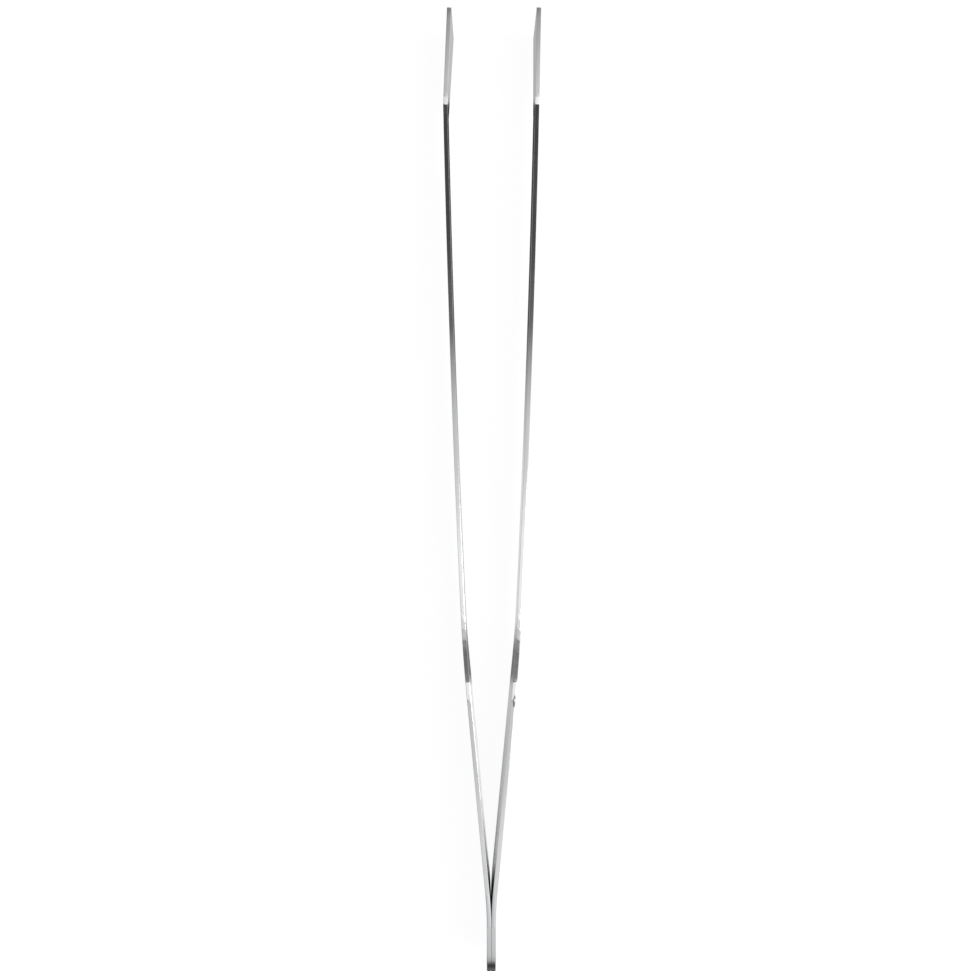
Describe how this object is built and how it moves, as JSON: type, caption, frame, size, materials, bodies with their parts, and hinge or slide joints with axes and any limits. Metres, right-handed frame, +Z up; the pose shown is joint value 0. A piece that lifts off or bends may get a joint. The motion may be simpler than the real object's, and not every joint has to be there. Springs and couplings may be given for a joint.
{
  "type": "print tongs",
  "caption": "Stainless steel darkroom print tongs: two spring strips welded at the heel, with wide leaves, slim bowed arms and flared jaws that close by elastic squeeze",
  "frame": {"origin": "under the middle of the tongs, on the surface that they lie on: the middle of the box in X and Y, and its underside in Z", "axes": "+Y runs along the tongs from the heel to the jaws, +X across the opening towards the right strip, +Z up along the width of the strips"},
  "size_m": [0.022, 0.2174, 0.015],
  "materials": {
    "spring_steel": "polished sheet with fine lengthwise grain and rolled-over edges",
    "weld_metal": "dull weld metal"
  },
  "bodies": {
    "heel": {"left_heel": "spring_steel", "right_heel": "spring_steel", "spot_welds": "weld_metal"},
    "left_arm": {"left_arm": "spring_steel"},
    "right_arm": {"right_arm": "spring_steel"}
  },
  "joints": [
    {"name": "left_squeeze", "type": "hinge", "parent": "heel", "child": "left_arm", "pos_m": [-0.00088, -0.08874, 0.0075], "axis": [0, 0, -1], "range_deg": [0, 2.74], "stiffness_Nm_per_rad": 4.5},
    {"name": "right_squeeze", "type": "hinge", "parent": "heel", "child": "right_arm", "pos_m": [0.00088, -0.08874, 0.0075], "axis": [0, 0, 1], "range_deg": [0, 2.74], "stiffness_Nm_per_rad": 4.5}
  ],
  "couplings": [
    {"joint": "right_squeeze", "follows": "left_squeeze", "ratio": 1}
  ]
}
